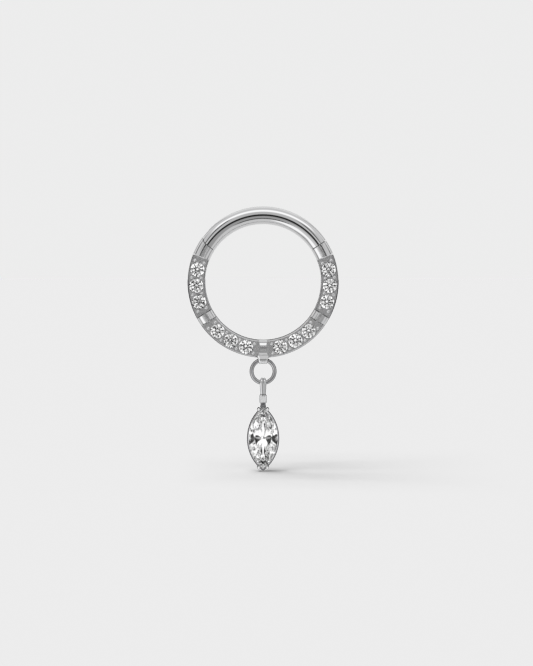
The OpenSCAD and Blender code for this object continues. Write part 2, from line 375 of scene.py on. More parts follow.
def block(name, stations, power=5, count=64, metal=0):
    """A filed block up the y axis: at each station (y, half width, half depth, middle z) a
    superellipse, and the surface runs through them."""
    c, s = superellipse(count, power)
    y, w, d, z = (np.asarray(v, float)[:, None] for v in zip(*stations))
    return skin(name, np.stack([w * c, y + 0 * c, z + d * s], -1), metal=metal)


print("superellipse corner reach:", round(float(superellipse(64, 5)[0][8]), 3))

# %% [markdown]
# ## Camera and studio
# The picture is taken from the front, 3 degrees above level, with a long lens, so the ring's
# round shape stays true. The camera stands as far off as it takes for the picture's height to
# cover the wanted millimetres, worked out from two triangles that share the lens.

# %% Camera
LENS, ELEVATION = 150.0, 3.0      # millimetres, and degrees above level
HALF_SENSOR = 18                  # half the sensor's 36 mm, which lies along the picture's height
PICTURE_ROWS, ROW_HIGH = 666, 0.0691  # millimetres at the ring that one row of pixels covers
TARGET = (0.235, -3.522, 0.0)     # the point in the middle of the picture

camera = added("camera", bpy.data.cameras.new("camera"))
camera.data.lens = LENS
reach = PICTURE_ROWS * ROW_HIGH / 2 / (HALF_SENSOR / LENS)
tilt = np.radians(ELEVATION)
eye = np.array(TARGET) + reach * np.array([0, np.sin(tilt), np.cos(tilt)])
camera.location = stand_up(eye)
camera.rotation_euler = (np.pi / 2 - tilt, 0, 0)
camera.data.clip_start, camera.data.clip_end = 0.001, 10
bpy.context.scene.camera = camera
bpy.context.scene.view_settings.view_transform = "Standard"
print("camera at", [round(v, 4) for v in camera.location])


# %% [markdown]
# ### A card of the studio
# The studio is a white tent. It is painted on the world, as a reflection map is, and every card
# in it is a patch with a soft edge. A card could be a lamp or a glowing sheet, but the floor
# and the camera would see that too. One node group works the patch out from a ray's direction
# and is placed once for each card.


# %% Card group
def card_group():
    """A mask that is 1 where a ray looks at a card. The ray is split into how far it goes
    towards the card, sideways and up; sideways and up over forward is where it lands."""
    tree = bpy.data.node_groups.new("Studio card", "ShaderNodeTree")
    face = tree.interface
    for name, kind in (("Ray", "Vector"), ("Towards", "Vector"), ("Sideways", "Vector"),
                       ("Up", "Vector"), ("Half width", "Float"), ("Half height", "Float"),
                       ("Squareness", "Float"), ("Softness", "Float")):
        face.new_socket(name, in_out="INPUT", socket_type="NodeSocket" + kind)
    face.new_socket("Mask", in_out="OUTPUT", socket_type="NodeSocketFloat")
    start = tree.nodes.new("NodeGroupInput")
    end = tree.nodes.new("NodeGroupOutput")

    def along(axis):
        node = tree.nodes.new("ShaderNodeVectorMath")
        node.operation = "DOT_PRODUCT"
        tree.links.new(start.outputs["Ray"], node.inputs[0])
        tree.links.new(start.outputs[axis], node.inputs[1])
        return node.outputs["Value"]

    square = start.outputs["Squareness"]
    forward = math(tree, "MAXIMUM", along("Towards"), 0.001)
    parts = []
    for axis, half in (("Sideways", "Half width"), ("Up", "Half height")):
        landing = math(tree, "DIVIDE", along(axis), forward)
        spot = math(tree, "DIVIDE", landing, start.outputs[half])
        parts.append(math(tree, "POWER", math(tree, "ABSOLUTE", spot), square))
    reach_out = math(tree, "POWER", math(tree, "ADD", *parts), math(tree, "DIVIDE", 1.0, square))
    inside = math(tree, "DIVIDE", math(tree, "SUBTRACT", 1.0, reach_out), start.outputs["Softness"])
    tree.links.new(math(tree, "ADD", inside, 0.5, clamp=True), end.inputs["Mask"])
    return tree


CARD = card_group()
print("card sockets:", [socket.name for socket in CARD.interface.items_tree])

# %% [markdown]
# ### The cards
# Polished metal shows nothing of its own, only the studio. A soft box overhead gives the bright
# band along the top of the wire, low fill cards light its underside, and black flags draw
# the dark streaks that make it read as round. The dark round card in front is how a camera's
# lens looks in the metal.


# %% Cards
def direction(azimuth, elevation):
    """Unit vector towards a card: azimuth 0 is the camera's side and 90 the right."""
    a, e = np.radians(azimuth), np.radians(elevation)
    return np.array([np.sin(a) * np.cos(e), -np.cos(a) * np.cos(e), np.sin(e)])


TENT = 0.86  # brightness of the tent between the cards
# Each card: azimuth, elevation, half width and half height in degrees, brightness,
# squareness (2 is an oval, 8 a box) and softness of its edge.
CARDS = [
    (180, 45, 60, 14, 1.05, 8, 0.5),    # light back wall
    (0, 66, 42, 14, 1.55, 8, 0.25),     # overhead soft box
    (0, 33, 48, 14, 0.72, 8, 0.8),      # grey valance under it
    (20, -22, 30, 15, 0.48, 8, 0.4),    # grey table edge in front
    (-1, -41, 17, 6.5, 0.1, 8, 0.35),   # shade below it
    (-98, -36, 12, 24, 0.55, 8, 0.4),   # grey card far to the left
    (-60, -28, 21, 15, 1.5, 6, 0.35),   # low fill cards on the left
    (-42, -50, 16, 14, 1.5, 6, 0.35),
    (31, 27, 5, 10, 0.1, 8, 0.5),       # black flags to the right and left
    (-35, 30, 4.5, 15, 0.02, 8, 0.4),
    (95, 0, 9, 30, 0.18, 8, 0.6),
    (-95, 5, 9, 30, 0.18, 8, 0.6),
    (0, 4.5, 12.5, 12.5, 0.02, 2, 0.5),  # black flag round the lens
    (180, 4.5, 13, 13, 0.0, 2, 0.12),   # its twin behind
    (140, 20, 5, 25, 0.15, 8, 0.6),
    (-140, 20, 5, 25, 0.15, 8, 0.6),
]
print("cards:", len(CARDS), "of them black:", sum(card[4] < 0.2 for card in CARDS))

# %% [markdown]
# ### What shines through the stones
# A cut stone sparkles because each facet takes its light from another place. Under a plain
# tent they would all take nearly the same white, and the stone would look dull, so jewellers
# light stones with many small lamps that have dark gaps between them. Only light that comes
# through a stone sees this sky here. Its cells are about a sixth of the sky's radius: small
# enough to give each facet its own brightness, and large enough for a clean picture.

# %% Sparkling sky
CELLS = 6.0
SPARKLE = ((0.0, 0.0), (0.21, 0.58), (0.44, 1.25))   # from which random number on, how bright
CAMERA_IN_STONES = (0, 3, 11.2, 11.2, 0.0, 2, 0.15)  # a card: the camera's dark round shape


def sparkle(tree, ray):
    """Cells of random brightness over the sphere. A stepped ramp makes each one a dark gap, a
    grey or a lamp."""
    cells = tree.nodes.new("ShaderNodeTexVoronoi")
    cells.inputs["Scale"].default_value = CELLS
    tree.links.new(ray, cells.inputs["Vector"])
    parts = tree.nodes.new("ShaderNodeSeparateColor")
    tree.links.new(cells.outputs["Color"], parts.inputs[0])
    ramp = tree.nodes.new("ShaderNodeValToRGB")
    ramp.color_ramp.interpolation = "CONSTANT"
    ramp.color_ramp.elements.new(0.5)
    for stop, (place, bright) in zip(ramp.color_ramp.elements, SPARKLE):
        stop.position, stop.color = place, (bright, bright, bright, 1)
    tree.links.new(parts.outputs[0], ramp.inputs[0])
    return ramp.outputs["Color"]


print("share of lamps in the stones' sky:", 1 - SPARKLE[-1][0])

# %% [markdown]
# ### Painting the world
# The tent is the first coat, and each card is mixed over what is there already. In the end the
# kind of ray chooses between the pictures. The metal sees the cards, the stones the sparkling
# sky and the floor an even light, and the camera sees one plain pale colour behind the ring.

# %% World
PALE = 0.843       # what the camera sees
FLOOR_LIGHT = 0.2  # what lights the floor beside the key light


def mixed(tree, factor, below, above):
    """The output of a colour mix: below where the factor is 0, above where it is 1."""
    mix = tree.nodes.new("ShaderNodeMix")
    mix.data_type = "RGBA"
    tree.links.new(factor, mix.inputs["Factor"])
    put(tree, mix.inputs["A"], below)
    put(tree, mix.inputs["B"], above)
    return mix.outputs["Result"]


def laid_over(tree, ray, colour, card_values):
    """The colour with one card mixed over it by the card's mask."""
    azimuth, elevation, wide, high, bright, square, soft = card_values
    card = tree.nodes.new("ShaderNodeGroup")
    card.node_tree = CARD
    towards = direction(azimuth, elevation)
    sideways = np.array([np.cos(np.radians(azimuth)), np.sin(np.radians(azimuth)), 0])
    tree.links.new(ray, card.inputs["Ray"])
    card.inputs["Towards"].default_value = towards
    card.inputs["Sideways"].default_value = sideways
    card.inputs["Up"].default_value = np.cross(sideways, towards)
    card.inputs["Half width"].default_value = float(np.tan(np.radians(wide)))
    card.inputs["Half height"].default_value = float(np.tan(np.radians(high)))
    card.inputs["Squareness"].default_value = square
    card.inputs["Softness"].default_value = soft
    return mixed(tree, card.outputs["Mask"], colour, bright)


def paint_studio():
    """The world's colour: a tent, with each card mixed over it by its mask. Stones, floor and
    camera each get their own version, chosen by the kind of ray that asks."""
    world = bpy.data.worlds.new("studio")
    bpy.context.scene.world = world
    world.cycles.sampling_method = "NONE"
    world.use_nodes = True
    tree = world.node_tree
    tree.nodes.clear()
    ray = tree.nodes.new("ShaderNodeTexCoord").outputs["Generated"]
    colour = TENT
    for card in CARDS:
        colour = laid_over(tree, ray, colour, card)
    in_stones = laid_over(tree, ray, sparkle(tree, ray), CAMERA_IN_STONES)
    path = tree.nodes.new("ShaderNodeLightPath")
    for kind, other in (("Is Transmission Ray", in_stones),
                        ("Is Diffuse Ray", FLOOR_LIGHT), ("Is Camera Ray", PALE)):
        colour = mixed(tree, path.outputs[kind], colour, other)
    light = tree.nodes.new("ShaderNodeBackground")
    tree.links.new(colour, light.inputs["Color"])
    tree.links.new(light.outputs[0], tree.nodes.new("ShaderNodeOutputWorld").inputs["Surface"])
    return tree


print("nodes in the world:", len(paint_studio().nodes))

# %% [markdown]
# ### Floor
# The floor lies just under the drop's tip and is there for its soft shadow. As a shadow catcher
# it draws only that over the pale background, so no far edge of it is seen. Its back is clear,
# and a view from below looks through it. The ring doesn't mirror it, because a floor without
# an end would cover the lower half of the studio in the metal.

# %% Floor
FLOOR_HALF, FLOOR_BELOW = 400.0, 0.06


def floor_material():
    """White from above, and clear from below."""
    material = bpy.data.materials.new("floor white")
    material.use_nodes = True
    tree = material.node_tree
    tree.nodes.clear()
    white = tree.nodes.new("ShaderNodeBsdfDiffuse")
    white.inputs["Color"].default_value = (0.8, 0.8, 0.8, 1)
    clear = tree.nodes.new("ShaderNodeBsdfTransparent")
    mix = tree.nodes.new("ShaderNodeMixShader")
    tree.links.new(tree.nodes.new("ShaderNodeNewGeometry").outputs["Backfacing"], mix.inputs[0])
    tree.links.new(white.outputs[0], mix.inputs[1])
    tree.links.new(clear.outputs[0], mix.inputs[2])
    tree.links.new(mix.outputs[0], tree.nodes.new("ShaderNodeOutputMaterial").inputs["Surface"])
    return material


def lay_floor():
    """A square sheet, its corners in the order that makes it face up."""
    corners = [[x * FLOOR_HALF, LOWEST - FLOOR_BELOW, z * FLOOR_HALF]
               for x, z in ((-1, 1), (1, 1), (1, -1), (-1, -1))]
    mesh = bpy.data.meshes.new("floor")
    mesh.from_pydata(stand_up(corners).tolist(), [], [[0, 1, 2, 3]])
    mesh.materials.append(floor_material())
    floor = added("floor", mesh)
    floor.is_shadow_catcher = True
    floor.visible_glossy = False
    floor.visible_transmission = False
    return floor


print("floor faces up:", round(lay_floor().data.polygons[0].normal.z, 2))

# %% [markdown]
# ### Key light
# One lamp casts the shadow. It is larger than the ring, which keeps the shadow's edge soft, and
# stands above and a little to the left, so the shadow runs off to the right. The metal and the
# stones don't see it, because the painted soft box already stands for it there.

# %% Key light
key = added("key", bpy.data.lights.new("key", "AREA"))
key.data.shape = "RECTANGLE"
key.data.size, key.data.size_y = 0.1, 0.18
key.data.energy = 0.33
key.location = (-0.04, -0.004, 0.12)
key.rotation_euler = (np.radians(2), np.radians(-17), 0)
key.visible_camera = False
key.visible_glossy = False
key.visible_transmission = False
print("key light in mm:", round(key.data.size * 1000), "by", round(key.data.size_y * 1000))

# %% [markdown]
# ## Dressing a piece
# A mesh of small faces looks round when it is shaded smoothly, but filed edges have to stay
# crisp, so faces that meet at a sharper angle keep a hard edge between them. The piece is then
# told which body it moves with and which CAD solid it replaces.

# %% Dress
CRISP = 35  # degrees between two faces, from which on the edge stays hard


def dress(piece, body, cad):
    """Smooth shading with crisp edges, and the piece's place in the frame."""
    piece.data.shade_smooth()
    piece.data.set_sharp_from_angle(angle=np.radians(CRISP))
    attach(piece, body)
    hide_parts(cad)
    print(piece.name, "faces:", len(piece.data.polygons))


# %% [markdown]
# ## The hoop's round wire
# A torus is two angles: one round the hoop and one round the wire. At the hinge the wire isn't
# cut square. Its inner half ends on a straight line and its outer half on a circle about the
# pin, so each line along the wire gets its own last angle, worked out from the triangle of
# hoop middle, pin and cut. The lid there is ruled from front to back, as a saw would leave it,
# and it is dark metal, painted shade, which is why a seam shows as a thin dark line.


# %% Wire functions
WIRE_COLS = 88                         # lines along the wire
CHAMFER = 0.018                        # the broken edge of a square end
CROWN_R = 1.5                          # the crown that filing leaves on the wire's front
CROWN_DROP, CROWN_SATIN = 0.015, 0.07  # how far down and how far out it is satin
FACING = 0.985                         # a normal with this much towards the viewer is in front


def knuckle_end(rho, knuckle):
    """Angle where a line at distance rho from the hoop's middle meets the knuckle: a chord at
    that height inside the pin's circle, and the circle about the pin outside it."""
    inner = np.degrees(np.arcsin(knuckle / rho))
    cosine = (rho**2 + HINGE_R**2 - knuckle**2) / (2 * rho * HINGE_R)
    outer = np.degrees(np.arccos(np.clip(cosine, -1, 1)))
    return HINGE_ANGLE + np.where(rho < HINGE_R, inner, outer)


def wire(name, start, end, rows, square_end, front=WIRE_R, thick=WIRE_R, metal=0):
    """Torus between two angles, which may differ for each line. The square end, "start" or
    "end", gets a small chamfer and a flat lid, and the other end a ruled one. A front less than
    the radius files the wire down to a faint crown there: height is the front less the square
    of the way across over twice the crown's radius. The crown keeps the satin of the file, but
    its outer part is polished, and mirrors the lens as a dark line."""
    c, s = circle(WIRE_COLS)
    t = np.linspace(0, 1, rows)[:, None]
    radius = np.full((rows, 1), thick)
    step = CHAMFER / RING_R / np.radians(np.mean(end - start))
    last, near, value = (0, 1, step) if square_end == "start" else (-1, -2, 1 - step)
    t[near], radius[last] = value, thick - CHAMFER
    angle = np.radians(start + (end - start) * t)
    rho = RING_R + radius * c
    height = np.minimum(radius * s, front - (radius * c) ** 2 / (2 * CROWN_R)) + 0 * angle
    grid = np.stack([rho * np.cos(angle), rho * np.sin(angle), height], -1)
    ruled = (square_end != "start", square_end != "end")
    # The lids take the dark metal: painted shade in the seam.
    piece = skin(name, grid, ruled=ruled, metal=metal, lid_metal=PAINTED_SHADE)
    if front < WIRE_R:
        satin_front(piece, front - CROWN_DROP, CROWN_SATIN)
    return piece


def satin_front(piece, height, outer=1.0):
    """Gives the satin metal to the faces that look to the front at this height, as far out
    from the wire's middle line as outer."""
    faces = piece.data.polygons
    facing = np.array([face.normal[1] < -FACING for face in faces])
    middle = np.array([face.center for face in faces]) * 1000
    forward = -middle[:, 1] > height
    inside = np.hypot(middle[:, 0], middle[:, 2] + RING_R) - RING_R < outer
    index = np.zeros(len(facing), np.int32)
    faces.foreach_get("material_index", index)
    index[facing & forward & inside] = SATIN
    faces.foreach_set("material_index", index)


HALF_GAP = np.degrees(SEAM / 2 / RING_R)
line_rho = RING_R + WIRE_R * circle(WIRE_COLS)[0]
print("last angles at the hinge:", np.round(knuckle_end(line_rho, KNUCKLE_R)[::11], 2))


# %% [markdown]
# ### Working from the pin
# Slot, tongue, knuckle and pin are marked out from the pin's hole, and so they are drawn from it
# here: an outline about the pin is moved out to it and turned to its place on the hoop. Domes,
# beads and seats lie on the wire, and are found by their angle round the hoop instead.


# %% Helpers about the pin
ROUND = (0, 352.5, 48)  # a full circle for arc: first angle, last angle, points


def at_hinge(points):
    """Drawing points given from the pin: x away from the hoop's middle, y towards the frame."""
    p = np.asarray(points, float)
    return turned(p + np.array([HINGE_R, 0, 0]), HINGE_ANGLE)


def hinge_prism(name, outline, low, high, metal=0):
    """A prism whose outline is given from the pin."""
    return prism(name, outline, low, high, metal, place=at_hinge)


def arc(radius, start, end, count=24):
    """Points on a circle about the pin."""
    a = np.radians(np.linspace(start, end, count))
    return np.column_stack([radius * np.cos(a), radius * np.sin(a)]).tolist()


def on_wire(angle, across=0.0, front=0.0):
    """A point at an angle round the hoop, moved outwards across the wire and to the front."""
    return turned([RING_R + across, 0, front], angle)


def ball(name, radius, centre, count=32, metal=0):
    """A sphere as a lathe of a half circle, its poles closed."""
    a = np.linspace(-np.pi / 2, np.pi / 2, count)[1:-1]
    return lathe(name, radius * np.cos(a), radius * np.sin(a), centre, count=count, metal=metal)


print("the pin stands at", np.round(at_hinge([0, 0, 0]), 3))

# %% [markdown]
# ### Hinged segment
# The plain part of the hoop swings open and is the wire that goes through the piercing. At the
# hinge a slot is sawn between two ears, to take the frame's tongue, and a hole is drilled for
# the pin. The free end has a small dome that clicks into the frame. Slot and hole are cut from
# the finished wire, as at the bench, so that their edges follow its round surface.

# %% Hinged segment
SLOT_R, SLOT_HALF, PAST = 0.365, 0.2, 1.1  # PAST is well outside the wire
PIN_HOLE_R, PIN_HOLE_TOP, DOME_R = 0.16, 0.46, 0.18
segment = wire("hinged_segment_wire", np.full(WIRE_COLS, CLOSING_ANGLE + HALF_GAP),
               knuckle_end(line_rho, KNUCKLE_R), rows=180, square_end="start")
slot_outline = [[PAST, -SLOT_R], *arc(SLOT_R, 270, 180), [-SLOT_R, PAST], [PAST, PAST]]
# The slot's and the pin hole's faces take the dark metal: painted shade between the ears.
solder(segment, hinge_prism("slot", slot_outline, -SLOT_HALF, SLOT_HALF, PAINTED_SHADE), "DIFFERENCE")
pin_hole = hinge_prism("pin hole", arc(PIN_HOLE_R, *ROUND), -1, PIN_HOLE_TOP, PAINTED_SHADE)
solder(segment, pin_hole, "DIFFERENCE")
solder(segment, ball("click dome", DOME_R, on_wire(CLOSING_ANGLE + HALF_GAP)))
dress(segment, "segment", "hinged_segment")

# %% [markdown]
# ### Hinge pin
# The pin is a short rod with broken edges. It goes in from the back, where its end is polished
# flush with the wire. The front ear is closed over it, so the front of the wire stays unbroken.
# It is a stack of circles, from the back to the front, about the pin's axis.

# %% Hinge pin
PIN_FLUSH = 0.592  # the back end lies this far from the wire's middle line
c, s = circle(48)
back = -np.sqrt(PIN_FLUSH**2 - (HINGE_R - RING_R) ** 2)
pin_profile = ((0.09, back), (0.12, back + 0.012), (0.14, back + 0.035),
               (0.14, 0.41), (0.12, 0.43), (0.09, 0.44))  # radius and height
pin_rings = [np.column_stack([r * c, r * s, np.full(48, z)]) for r, z in pin_profile]
pin = skin("hinge_pin_rod", at_hinge(np.stack(pin_rings)), metal=PIN)
dress(pin, "frame", "hinge_pin")

# %% [markdown]
# ## The frame
# The real frame is cast and soldered into one solid: round wire, four flat-fronted plates,
# the hinge's tongue, the lug that holds the jump ring and the small beads that hold the
# stones. Each is made on its own from its formula. Then they are joined, as solder would, and
# the seats are cut, because a drill cuts through all of them at once.
#
# ### Plates
# A plate is a flat front on a foot that sinks into the wire, so it is one section carried round
# the hoop. Its long edges and its ends are bevelled, because a sharp edge would catch.


# %% Plates
BEVEL, PLATE_ROWS = 0.06, 200
RIGHT_ENDS, LEFT_ENDS = (271.5, 382.6), (157.4, 268.5)  # angles where the plates start and end


def plate(name, start, end, rows):
    """A flat front with bevelled edges, straight sides and a foot inside the wire, carried
    round the hoop. The front's faces are satin and its bevels are polished. The first and the
    last section are lower, which bevels the ends too."""
    half = [[0, PLATE_FRONT], [PLATE_W - BEVEL, PLATE_FRONT], [PLATE_W, PLATE_FRONT - BEVEL],
            [PLATE_W, 0.3], [PLATE_W, -0.1], [0, -0.1]]
    right = np.array(half)
    section = np.vstack([right, (right * [-1, 1])[-2:0:-1]])
    angle = np.radians(np.linspace(start, end, rows))[:, None]
    rho = RING_R + section[:, 0]
    height = section[:, 1] + 0 * angle
    height[[0, -1]] = np.minimum(height[[0, -1]], PLATE_FRONT - BEVEL)
    piece = skin(name, np.stack([rho * np.cos(angle), rho * np.sin(angle), height], -1))
    satin_front(piece, PLATE_FRONT - 0.001)
    return piece


plates = joined("plates", [plate("right", *RIGHT_ENDS, PLATE_ROWS),
                           plate("left", *LEFT_ENDS, PLATE_ROWS)])
print("plates:", len(plates.data.polygons), "faces")

# %% [markdown]
# ### Notches
# Three notches part the plates and let the bare wire show. The one at the bottom follows the
# curved sides of the lug, and is cut straight through. The two at the sides have walls that
# lean open to the front. Cutting the plates is truer to the bench than making four of them,
# and it leaves their curves in line with each other.


# %% Notches
def mirrored(half):
    """A closed outline from its right half, given from one end to the other."""
    right = np.asarray(half, float)
    return np.vstack([right, (right * [-1, 1])[::-1]])


NOTCH = [[0.28, -3.85], [0.272, -4.05], [0.205, -4.45], [0.215, -4.65], [0.263, -4.85],
         [0.378, -5.155], [0.42, -5.35]]   # right side of the bottom notch
RIGHT_NOTCH, LEFT_NOTCH = 328, 212         # angles of the side notches
INSIDE, OUTSIDE = 3.2, 6.0                 # radii clear of the hoop, where the cutters end


def side_notch(name, angle):
    """The gap between a lower and an upper plate, its walls leaning open to the front, where
    a bevel breaks their edges."""
    wall = mirrored([[0.245, -1], [0.245, 0.13], [0.275, PLATE_FRONT - BEVEL],
                     [0.335, PLATE_FRONT], [0.435, PLATE_FRONT + 0.1]])
    grid = [np.column_stack([np.full(len(wall), r), wall]) for r in (INSIDE, OUTSIDE)]
    return skin(name, turned(grid, angle))


notches = joined("notches", [prism("bottom notch", mirrored(NOTCH), -1.5, 1.5),
                             side_notch("right notch", RIGHT_NOTCH),
                             side_notch("left notch", LEFT_NOTCH)])
solder(plates, notches, "DIFFERENCE")
print("notched plates:", len(plates.data.polygons), "faces")

# %% [markdown]
# ### Wire and cores
# The fixed part of the hoop is one wire from the hinge round to the closing seam, filed down a
# little in front, where it shows in the notches. On the real ring nobody sees through a seam,
# so at both ends a core fills the gap to just below the wire's surface. The cores are dark
# metal, painted shade in the gap, so a seam is a thin dark line from every side.

# %% Wire and cores
WIRE_FRONT = 0.575
CORE_R, CORE_GAP = 0.5, 0.006
HINGE_CORE_FOOT, CLOSING_CORE_FOOT = 150.0, 390.0  # angles well inside the wire
# The cores take the dark metal: painted shade in the seam's gap.
CORE = {"rows": 12, "square_end": "end", "thick": CORE_R, "metal": PAINTED_SHADE}
frame_metal = wire("ring_frame_wire", knuckle_end(line_rho, KNUCKLE_R + SEAM),
                   np.full(WIRE_COLS, 360 + CLOSING_ANGLE - HALF_GAP), rows=330,
                   square_end="end", front=WIRE_FRONT)
core_rho = RING_R + CORE_R * circle(WIRE_COLS)[0]
solder(frame_metal, wire("hinge core", knuckle_end(core_rho, KNUCKLE_R + CORE_GAP),
                         np.full(WIRE_COLS, HINGE_CORE_FOOT), **CORE))
core_end = 360 + CLOSING_ANGLE + HALF_GAP - np.degrees(CORE_GAP / RING_R)
solder(frame_metal, wire("closing core", np.full(WIRE_COLS, CLOSING_CORE_FOOT),
                         np.full(WIRE_COLS, core_end), **CORE))
print("wire with cores:", len(frame_metal.data.polygons), "faces")

# %% [markdown]
# ### Recess, plates and tongue
# The recess takes the segment's click dome. The tongue goes between the segment's ears and
# carries the pin: it is a round about the pin with two straight sides that reach back into the
# wire, sawn from sheet a little thinner than the slot.

# %% Recess, plates and tongue
RECESS_R = 0.23
TONGUE_R, TONGUE_HALF = 0.345, 0.18
# The recess and the tongue take the dark metal: painted shade inside and between parts.
recess = ball("click recess", RECESS_R, on_wire(CLOSING_ANGLE + HALF_GAP), metal=PAINTED_SHADE)
solder(frame_metal, recess, "DIFFERENCE")
solder(frame_metal, plates)
tongue_outline = [*arc(TONGUE_R, 170.4, 386.0, 40), [0.31, 0.65], [-0.34, 0.65]]
solder(frame_metal, hinge_prism("tongue", tongue_outline, -TONGUE_HALF, TONGUE_HALF, PAINTED_SHADE))
print("frame so far:", len(frame_metal.data.polygons), "faces")

# %% [markdown]
# ### Eyelet lug
# The lug is a small filed block under the hoop that holds the jump ring. From the front it
# narrows downwards, and from the side it is a wedge that ends in a round about the hole. A
# stack of superellipses follows both outlines at once. The round below the hole's middle keeps
# the file's satin, as it is the last part to be shaped and the hardest to polish.

# %% Eyelet lug
LUG = np.array([[0.45, -4.75], [0.45, -5.1], [0.378, -5.2], [0.33, -5.35], [0.29, -5.5],
                [0.22, -5.8]])           # half width at each height
LUG_ROUND = 0.265                        # half depth about the hole
WEDGE_TOP, WEDGE_LOW = 0.5, 0.25         # half depths of the wedge, from 4.8 down to the hole
UPPER_ROWS, LOWER_ROWS, LUG_COLS = 20, 13, 72


def lug():
    """Half width follows the outline, half depth a wedge that ends in a round about the hole."""
    upper = np.linspace(-4.75, EYE_Y, UPPER_ROWS)
    turn = np.linspace(0, np.pi / 2, LOWER_ROWS + 1)[1:]
    lower = EYE_Y - LUG_ROUND * np.sin(turn)
    wedge = WEDGE_TOP + (WEDGE_LOW - WEDGE_TOP) * (upper + 4.8) / (EYE_Y + 4.8)
    depth = np.concatenate([np.maximum(wedge, LUG_ROUND), LUG_ROUND * np.cos(turn) + 0.004])
    y = np.concatenate([upper, lower])
    width = np.interp(-y, -LUG[:, 1], LUG[:, 0])
    piece = block("lug", np.column_stack([y, width, depth, 0 * y]), power=7, count=LUG_COLS)
    for face in list(piece.data.polygons)[(UPPER_ROWS - 1) * LUG_COLS:]:
        face.material_index = SATIN
    print("lug from", round(y[0], 3), "down to", round(y[-1], 3), "mm")
    return piece


solder(frame_metal, lug())

# %% [markdown]
# ### Seats and holes
# A round stone sits in a cone with a straight collar for its girdle and a fine bright edge. Each
# cutter is turned from the seat's profile, as the real tool is. The eyelet's hole is wider at
# its mouths, so that the jump ring can swing. All of them are taken away at one go.

# %% Seats and holes
SEAT_R = STONE_R + 0.015
PIN_BORE_R = 0.15


def seat(name, angle):
    """A cone under the stone, a straight collar round its girdle and a fine bright-cut edge."""
    return lathe(name, [0.055, SEAT_R, SEAT_R, SEAT_R + 0.012, SEAT_R + 0.012],
                 [0.04, STONE_Z - 0.045, PLATE_FRONT - 0.01, PLATE_FRONT + 0.002, 1.0],
                 on_wire(angle), count=64)


hole = lathe("eyelet hole", [0.335, 0.265, 0.19, 0.165, 0.165, 0.19, 0.265, 0.335],
             [-0.55, -0.42, -0.22, -0.11, 0.11, 0.22, 0.42, 0.55], [0, EYE_Y, 0], axis="x")
pin_bore = hinge_prism("pin bore", arc(PIN_BORE_R, *ROUND), -0.3, 0.3)
cuts = joined("cuts", [*[seat("seat", angle) for angle in stone_angles()], hole, pin_bore])
solder(frame_metal, cuts, "DIFFERENCE")
print("frame with its seats:", len(frame_metal.data.polygons), "faces")

# %% [markdown]
# ### Beads
# Small beads of metal are pushed over the stones' edges and hold them. They stand at the
# corners of each stone, and neighbours share them. A bead that has been rounded off with a
# hollow punch is nearly a ball, so balls are sunk into the plate, a little over half deep.

# %% Beads
BEAD_R, BEAD_ACROSS, BEAD_SUNK = 0.11, 0.32, 0.02
bead_places = [(270 + side * (group + n * PITCH), across)
               for side in (1, -1) for group in GROUPS
               for n in (-1.5, -0.5, 0.5, 1.5) for across in (-BEAD_ACROSS, BEAD_ACROSS)]
beads = [ball("bead", BEAD_R, on_wire(angle, across, PLATE_FRONT - BEAD_SUNK), 20)
         for angle, across in bead_places]
solder(frame_metal, joined("beads", beads))
dress(frame_metal, "frame", "ring_frame")
print("beads:", len(bead_places))

# %% [markdown]
# ## Jump ring, bail and drop
# The jump ring is a plain ring of thin wire that links the drop to the eyelet. A torus is the
# whole of it: its ends are soldered, so there is no gap. Its titanium is darker: painted shade.

# %% Jump ring
c, s = circle(32)
turn = np.linspace(0, 2 * np.pi, 160, endpoint=False)[:, None]
rho = JUMP_R + JUMP_WIRE * c
jump_grid = [rho * np.cos(turn), JUMP_Y + rho * np.sin(turn), JUMP_WIRE * s + 0 * turn]
jump = skin("jump_ring_wire", np.stack(jump_grid, -1), closed_rows=True, metal=SHADED_TITANIUM)
dress(jump, "jump_ring", "jump_ring")

# %% [markdown]
# ### Bail
# The bail is a strap bent over the jump ring into a teardrop, with both legs soldered to the
# drop's neck. A groove is filed along its outside, and its floor is painted shade, which shows
# as a dark line down the front.
# A strap like this is a section carried along a path. The section's own directions turn with
# the path, so that the groove stays outside all the way over.

# %% Bail
BAIL_IN, BAIL_OUT = 0.165, 0.345  # radii of the bend, inside and outside
NECK_TOP = -0.85                  # heights of the bail and the neck count from the pivot
FOOT = (0.085, NECK_TOP - 0.06)   # where the front leg starts: forward and up
GROOVE_DEEP, GROOVE_WIDE = 0.055, 0.04


def in_groove(face):
    """True for a face of the front leg that lies on the groove and isn't one of its walls."""
    x, y = face.center[0], face.center[1]
    return abs(x) < 0.02e-3 and abs(face.normal[0]) < 0.95 and y < -0.1e-3


